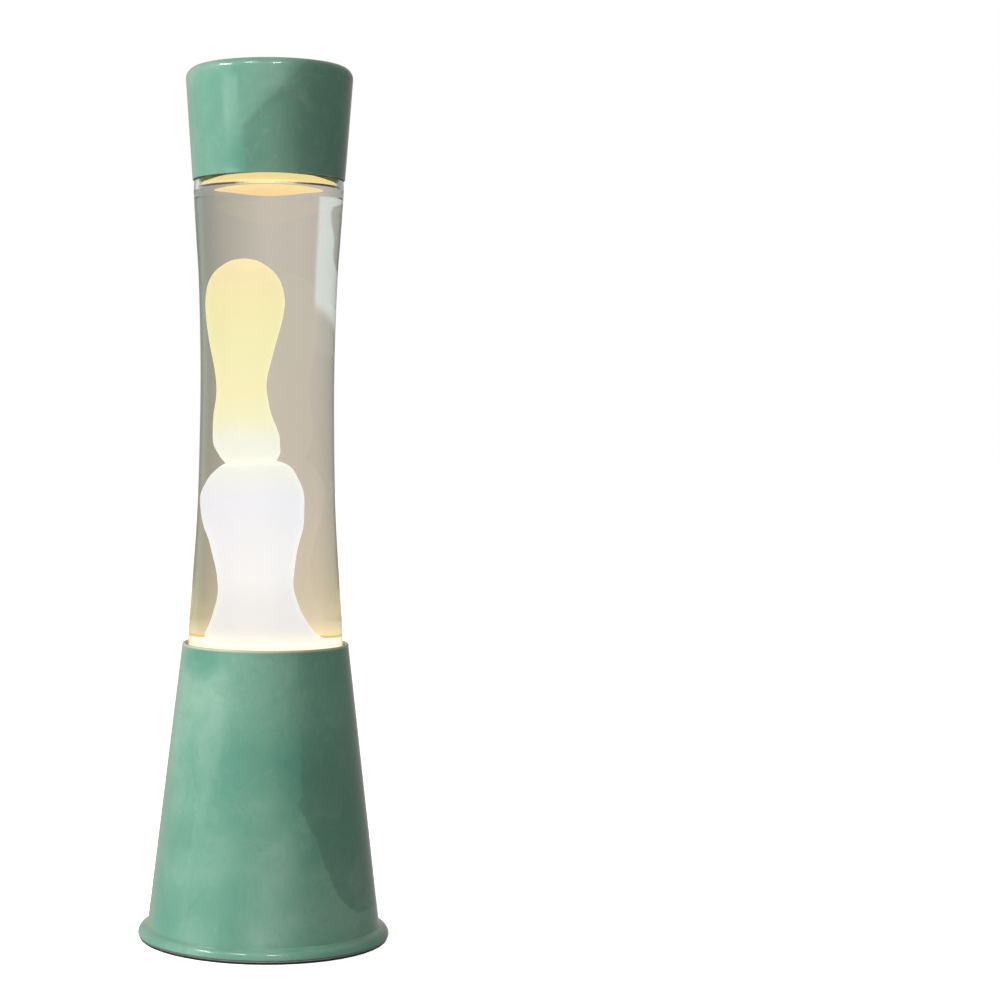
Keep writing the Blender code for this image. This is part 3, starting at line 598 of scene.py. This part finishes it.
glass_low, glass_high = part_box("bottle_glass")
BOTTLE_LOW = glass_low.z / MM
MOUTH = glass_high.z / MM
WALL = 2.0
FLOOR_GLASS = 3.0
FLAT_R = 22.0
BORE_R = 9.8
HEEL_UP = 12.0
HEEL_OUT = glass_high.x / MM - FLAT_R
SIDE = [(33.3, 340.0), (33.5, 334.0), (32.2, 313.0), (31.0, 294.0), (30.1, 262.0), (30.1, 232.0),
        (31.0, 194.0), (33.1, 160.0), (34.4, 142.0), (34.9, 122.0), (34.9, 110.0)]
side_curve = through(SIDE, 6)


def heel(inset, floor):
    up = HEEL_UP + BOTTLE_LOW - floor
    return arc((FLAT_R, floor + up), (HEEL_OUT - inset, up), -4, -90, 12)


def blown_glass(place):
    ripple = place.vector("MULTIPLY", (1.0, 1.0, 0.4)).noise(26.0, 2.0)
    colour = ripple.ramp((0.3, (0.95, 0.97, 0.96)), (0.7, (0.97, 0.98, 0.975)))
    # Painted glow: the glass below the pool's top gets a faint warm emission, for the wax's light in it.
    painted_pool_glow = (place.axis("Z") * (1 / MM)).step(142.0, 134.0).mix((0.0, 0.0, 0.0), (0.09, 0.065, 0.015))
    return {"Base Color": colour, "Roughness": ripple * 0.02, "Emission Color": painted_pool_glow,
            "Normal": relief(ripple, 0.05, 0.0006)}


CLEAR = {"Transmission Weight": 1.0, "IOR": 1.5, "Specular Tint": (0.3, 0.3, 0.3, 1.0),
         "Emission Strength": 1.0}
bottle_glass = finish("bottle_glass", CLEAR, blown_glass)
floor_z = BOTTLE_LOW + FLOOR_GLASS
inner_side = [(radius - WALL, height) for radius, height in reversed(side_curve)]
inner_neck = through([(30.6, 343.2), (28.6, 345.4), (15.2, 354.2), (11.0, 358.0), (BORE_R, 362.0)], 4)
inside = [(0, floor_z), *reversed(heel(WALL, floor_z)), *inner_side, *inner_neck]
mouth = [(BORE_R, MOUTH - 0.5), (BORE_R + 0.4, MOUTH), (12.6, MOUTH),
         *arc((12.6, MOUTH - 0.5), (0.5, 0.5), 80, 0, 4), (13.1, MOUTH - 5.0), (12.6, MOUTH - 6.5)]
shoulder = through([(13.0, 361.0), (16.0, 356.3), (30.0, 347.2), (32.2, 344.6), (33.15, 341.6)], 4)
bottle_outline = [*inside, *mouth, *shoulder, *side_curve, *heel(0, BOTTLE_LOW), (0, BOTTLE_LOW)]
settle(lathe("blown_bottle", bottle_outline, 160), "bottle", "clear_glass", bottle_glass, "bottle_glass")

# ---- Wax ------------------------------------------------------------------------------------------
# Warm paraffin wax, lit from beneath: a pool with a column rising out of it, a tall blob that has
# come away and rides up, and a lens of cooler wax floating on top. The bulb's light in the wax is
# painted on as a glow, and the column's painted glow is the whitest.

POOL_Z = 133.8
COLUMN = [(0, 215.4), (6.0, 214.9), (10.2, 213.3), (13.2, 210.2), (15.8, 205.0), (17.5, 199.4),
          (17.7, 194.0), (16.9, 185.0), (15.2, 178.0), (13.6, 168.5), (12.8, 161.0), (12.9, 155.5),
          (14.1, 149.0), (15.9, 143.2), (18.0, 138.2), (20.4, 134.0)]
COLUMN_LEAN = [(133.8, 0.0), (137.0, -1.7), (141.8, -2.3), (148.0, -2.9), (162.0, -3.6), (176.0, -4.1),
               (197.0, -5.1), (206.0, -4.6), (213.0, -3.8)]
BLOB = [(0, 305.2), (4.6, 304.1), (8.9, 300.6), (11.3, 297.0), (12.7, 293.0), (13.4, 288.0), (13.5, 283.5),
        (12.6, 275.2), (10.8, 264.5), (9.0, 254.0), (8.5, 247.0), (9.2, 239.3), (11.0, 228.2), (11.3, 223.5),
        (10.5, 218.0), (7.6, 212.6), (4.0, 210.4), (0, 209.8)]
BLOB_LEAN = [(210.0, -5.2), (217.0, -6.0), (223.0, -7.0), (238.0, -8.5), (250.0, -8.8), (262.0, -8.6),
             (286.0, -7.9), (302.0, -8.2)]
LENS = [(0, 343.6), (10.0, 343.2), (17.0, 342.1), (24.0, 340.5), (27.5, 339.3), (29.9, 338.3), (29.9, 337.4),
        (26.5, 336.8), (22.0, 336.1), (17.5, 335.4), (13.0, 334.7), (9.0, 333.9), (4.0, 333.1), (0, 333.0)]


def leaning(pairs):
    """Rings whose centres drift along X with height, smoothly through (height, drift) pairs."""
    def place(radius, height, angle):
        drift = pairs[-1][1]
        if height <= pairs[0][0]:
            drift = pairs[0][1]
        else:
            for (low, start), (high, end) in zip(pairs, pairs[1:]):
                if height <= high:
                    t = (height - low) / (high - low)
                    drift = start + (end - start) * t * t * (3 - 2 * t)
                    break
        return radius * math.cos(angle) + drift, radius * math.sin(angle), height
    return place


def oval_belly(radius, height, angle):
    """The lens is round above the liquid; the part that hangs in it reaches further to the front."""
    stretch = 1.0
    if math.sin(angle) < 0:
        stretch += 0.55 * min(max(336.6 - height, 0.0), 1.0) * min(max((radius - 8) / 8, 0.0), 1.0)
    return radius * math.cos(angle), radius * stretch * math.sin(angle), height


wax_low, wax_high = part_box("wax_column")
POOL_R = wax_high.x / MM
wax_floor = wax_low.z / MM
TAN_RING = (0.46, 0.30, 0.10)


def wax_painted_glow(low, high, *stops):
    """Wax with a painted glow, standing for the bulb's light scattered in it, that changes from height low
    to high, in millimetres, through (share, colour) stops. A thin tan ring is painted on the pool, in its
    glow and its colour, where it meets the glass."""
    def paint(place):
        height = (place.axis("Z") - low * MM) * (1 / ((high - low) * MM))
        cloud = place.noise(40.0, 3.0, 0.5)
        glow = (height + (cloud - 0.5) * 0.06).ramp(*stops)
        body = cloud.ramp((0.3, (0.30, 0.27, 0.17)), (0.7, (0.34, 0.31, 0.20)))
        flat = place.vector("MULTIPLY", (1.0, 1.0, 0.0))
        out = flat.node("ShaderNodeVectorMath", {"operation": "LENGTH"}, {0: flat}, "Value") * (1 / MM)
        level = place.axis("Z") * (1 / MM)
        # A thin tan ring on the pool where it meets the glass, painted into both its glow and its colour.
        tan_ring = out.step(POOL_R - 2.2, POOL_R - 1.6) * out.step(POOL_R - 0.1, POOL_R - 0.3)
        tan_ring = tan_ring * level.step(132.5, 132.8)
        tan_ring = tan_ring * level.step(134.6, 134.0)
        glow = tan_ring.mix(glow, TAN_RING)
        body = tan_ring.mix(body, TAN_RING)
        return {"Base Color": body, "Emission Color": glow, "Roughness": 0.35 + cloud * 0.1}
    return paint


# Colours of the wax's painted glow: whitest low down near the bulb, warmer higher up.
WHITE_GLOW = (0.87, 0.89, 1.0)
POOL_GLOW = (0.70, 0.73, 0.87)
PALE_GLOW = (0.92, 0.95, 0.86)
CREAM_GLOW = (0.97, 0.90, 0.54)
BUTTER_GLOW = (0.95, 0.86, 0.47)
PEACH_GLOW = (0.93, 0.77, 0.48)
GLOW = {"Emission Strength": 0.98, "Subsurface Weight": 0.0}
column_glow = wax_painted_glow(100, 216, (0.0, POOL_GLOW), (0.36, POOL_GLOW), (0.55, WHITE_GLOW),
                          (0.85, WHITE_GLOW), (1.0, PALE_GLOW))
blob_glow = wax_painted_glow(210, 305, (0.0, PALE_GLOW), (0.14, PALE_GLOW), (0.24, (0.95, 0.93, 0.63)),
                        (0.36, CREAM_GLOW), (0.62, (0.94, 0.88, 0.49)), (0.8, BUTTER_GLOW), (1.0, PEACH_GLOW))
# The lens's painted glow ends in a lilac top, a painted highlight line just under the cap.
lens_glow = wax_painted_glow(333, 343, (0.0, (0.90, 0.58, 0.24)), (0.3, (0.92, 0.70, 0.29)),
                        (0.9, (0.92, 0.76, 0.34)), (1.0, (0.70, 0.56, 0.60)))
column_wax = finish("column_wax", GLOW, column_glow)
blob_wax = finish("blob_wax", GLOW, blob_glow)
lens_wax = finish("lens_wax", GLOW, lens_glow)
coil_low, coil_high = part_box("heat_coil")
COIL_WIRE = (coil_high.z - coil_low.z) / 2 / MM
COIL_R = coil_high.x / MM - COIL_WIRE
groove = COIL_WIRE + 0.6
groove_top = wax_floor + 5.6
pool = [(24.0, POOL_Z - 0.7), (POOL_R - 1.8, POOL_Z - 0.9), (POOL_R - 1.0, POOL_Z - 0.6),
        (POOL_R - 0.4, POOL_Z), (POOL_R, POOL_Z), (POOL_R, 122.0),
        *[(radius - 0.3, height + 0.15) for radius, height in heel(WALL, floor_z)[:-1]],
        (FLAT_R, wax_floor), (COIL_R + groove, wax_floor), (COIL_R + groove, groove_top),
        (COIL_R - groove, groove_top), (COIL_R - groove, wax_floor), (0, wax_floor)]
column = lathe("rising_column", [*through(COLUMN), *pool], 128, leaning(COLUMN_LEAN))
settle(column, "bottle", "lamp_wax", column_wax, "wax_column")
blob = lathe("risen_blob", through(BLOB), 128, leaning(BLOB_LEAN))
settle(blob, "wax", "lamp_wax", blob_wax, "wax_blob")
settle(lathe("floating_lens", through(LENS), 128, oval_belly), "bottle", "lamp_wax", lens_wax, "wax_top_pool")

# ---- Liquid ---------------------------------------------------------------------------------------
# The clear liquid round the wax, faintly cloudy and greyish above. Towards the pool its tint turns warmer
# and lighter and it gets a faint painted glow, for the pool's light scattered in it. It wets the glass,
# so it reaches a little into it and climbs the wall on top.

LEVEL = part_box("lamp_liquid")[1].z / MM
WETTING = 0.05


def liquid_with_painted_glow(place):
    height = place.axis("Z") * (1 / MM)
    haze = place.noise(24.0, 3.0, 0.5)
    share = (height - POOL_Z) * (1 / (LEVEL - POOL_Z)) + (haze - 0.5) * 0.05
    # Towards the pool the tint turns warmer and lighter and a painted glow is added, for the pool's light.
    tint = share.ramp((0.0, (0.98, 0.93, 0.76)), (0.12, (0.93, 0.89, 0.80)), (0.35, (0.91, 0.88, 0.84)),
                      (0.7, (0.92, 0.90, 0.87)), (1.0, (0.93, 0.91, 0.88)))
    glow = share.ramp((0.0, (0.16, 0.12, 0.06)), (0.1, (0.07, 0.05, 0.02)), (0.4, (0.03, 0.02, 0.01)),
                      (1.0, (0.01, 0.01, 0.01)))
    return {"Base Color": tint, "Emission Color": glow, "Roughness": haze * 0.02}


LIQUID = {"Transmission Weight": 1.0, "IOR": 1.34, "Emission Strength": 1.0}
liquid = finish("liquid_with_painted_glow", LIQUID, liquid_with_painted_glow)
liquid_side = [(radius - WALL + WETTING, height) for radius, height in side_curve if height < LEVEL - 1]
level_r = 31.5
liquid_outline = [(0, LEVEL), (level_r - 1.6, LEVEL), (level_r - 0.6, LEVEL + 0.25), (level_r, LEVEL + 0.9),
                  *liquid_side, *heel(WALL - WETTING, floor_z - WETTING), (0, floor_z - WETTING)]
settle(lathe("wetting_liquid", liquid_outline, 160), "bottle", "lamp_liquid", liquid, "lamp_liquid")

# ---- Heat coil ------------------------------------------------------------------------------------
# A close coil of bare steel wire, bent round into a ring, that lies in the wax and breaks its skin.

COIL_TURNS = 46
COIL_POINTS = 12
STRAND_R = 0.35
WIND_R = COIL_WIRE - 0.4
coil_curve = bpy.data.curves.new("wire_coil", "CURVE")
coil_curve.dimensions = "3D"
coil_curve.bevel_depth = STRAND_R * MM
coil_curve.bevel_resolution = 2
spline = coil_curve.splines.new("POLY")
coil_count = COIL_TURNS * COIL_POINTS
spline.points.add(coil_count - 1)
spline.use_cyclic_u = True
coil_z = (coil_low.z + coil_high.z) / 2 / MM
for i, point in enumerate(spline.points):
    round_ring = 2 * math.pi * i / coil_count
    round_wire = round_ring * COIL_TURNS
    out = COIL_R + WIND_R * math.cos(round_wire)
    rise = coil_z + WIND_R * math.sin(round_wire)
    point.co = (out * math.cos(round_ring) * MM, out * math.sin(round_ring) * MM, rise * MM, 1.0)
wire_coil = bpy.data.objects.new("wire_coil", coil_curve)
bpy.context.scene.collection.objects.link(wire_coil)
settle(wire_coil, "bottle", "zinc_steel", zinc, "heat_coil")

# ---- Closure --------------------------------------------------------------------------------------
# A pressed crown closure with its fluted skirt crimped under the bottle's lip over a soft liner.

FLUTES = 21
FLUTE_DEPTH = 0.55
FLUTE_RUN = 3.5
crown_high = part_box("crown_closure")[1]
CROWN_TOP = crown_high.z / MM
CROWN_R = crown_high.x / MM
CRIMP_TOP = MOUTH - 0.6


def fluted(radius, height, angle):
    """The skirt's flutes grow from nothing at its shoulder to their full depth at its edge."""
    depth = FLUTE_DEPTH * min(max((CRIMP_TOP - height) / FLUTE_RUN, 0.0), 1.0)
    wave = radius + depth * (math.cos(FLUTES * angle) - 1)
    return wave * math.cos(angle), wave * math.sin(angle), height


crown_outline = [(0, CROWN_TOP), (11.6, CROWN_TOP), (12.8, CROWN_TOP - 0.2), (13.6, CROWN_TOP - 0.9),
                 (14.1, MOUTH - 0.6), (14.4, MOUTH - 1.8), (15.0, MOUTH - 3.2), (CROWN_R, MOUTH - 4.8),
                 (CROWN_R - 0.3, MOUTH - 5.0), (14.7, MOUTH - 3.4), (14.0, MOUTH - 1.9), (13.6, MOUTH - 0.6),
                 (13.2, CROWN_TOP - 1.1), (12.4, CROWN_TOP - 0.6), (0, CROWN_TOP - 0.6)]
crown = lathe("fluted_crown", crown_outline, 168, fluted)
settle(crown, "bottle", "zinc_steel", zinc, "crown_closure")
repaint(silicone, "closure_seal")

# ---- Cap ------------------------------------------------------------------------------------------
# The cap is spun like the base and painted with it: a shallow inverted cup, wider at its flat top,
# that drops over the bottle's neck onto a foam ring glued inside.

cap_low, cap_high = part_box("cap_shell")
CAP_LOW = cap_low.z / MM
CAP_TOP = cap_high.z / MM
CAP_R = 34.15
CAP_SHEET = 0.45
CORNER = 5.0
cap_corner = (cap_high.x / MM - CORNER, CAP_TOP - CORNER)
cap_side = [(CAP_R + (cap_high.x / MM - CAP_R) * t, CAP_LOW + 0.5 + (CAP_TOP - CORNER - CAP_LOW - 0.5) * t)
            for t in (i / 12 for i in range(12, -1, -1))]
cap_outline = [(0, CAP_TOP), (16.0, CAP_TOP), *arc(cap_corner, (CORNER, CORNER), 90, 4, 14), *cap_side,
               (CAP_R, CAP_LOW + 0.15), (CAP_R - 0.15, CAP_LOW), (CAP_R - CAP_SHEET, CAP_LOW),
               *[(radius - CAP_SHEET, height) for radius, height in reversed(cap_side)],
               *arc(cap_corner, (CORNER - CAP_SHEET, CORNER - CAP_SHEET), 4, 90, 8), (0, CAP_TOP - CAP_SHEET)]
settle(lathe("cap_cup", cap_outline, 192), "cap", "marbled_enamel", marbled_enamel, "cap_shell")


def grey_foam(place):
    cells = place.noise(1100.0, 2.0, 0.6)
    return {"Base Color": cells.ramp((0.35, (0.02, 0.02, 0.02)), (0.7, (0.07, 0.07, 0.07))),
            "Roughness": 0.85 + cells * 0.1, "Normal": relief(cells, 0.6, 0.0004)}


foam = finish("grey_foam", {"Specular IOR Level": 0.2}, grey_foam)
repaint(foam, "cap_pad_ring")
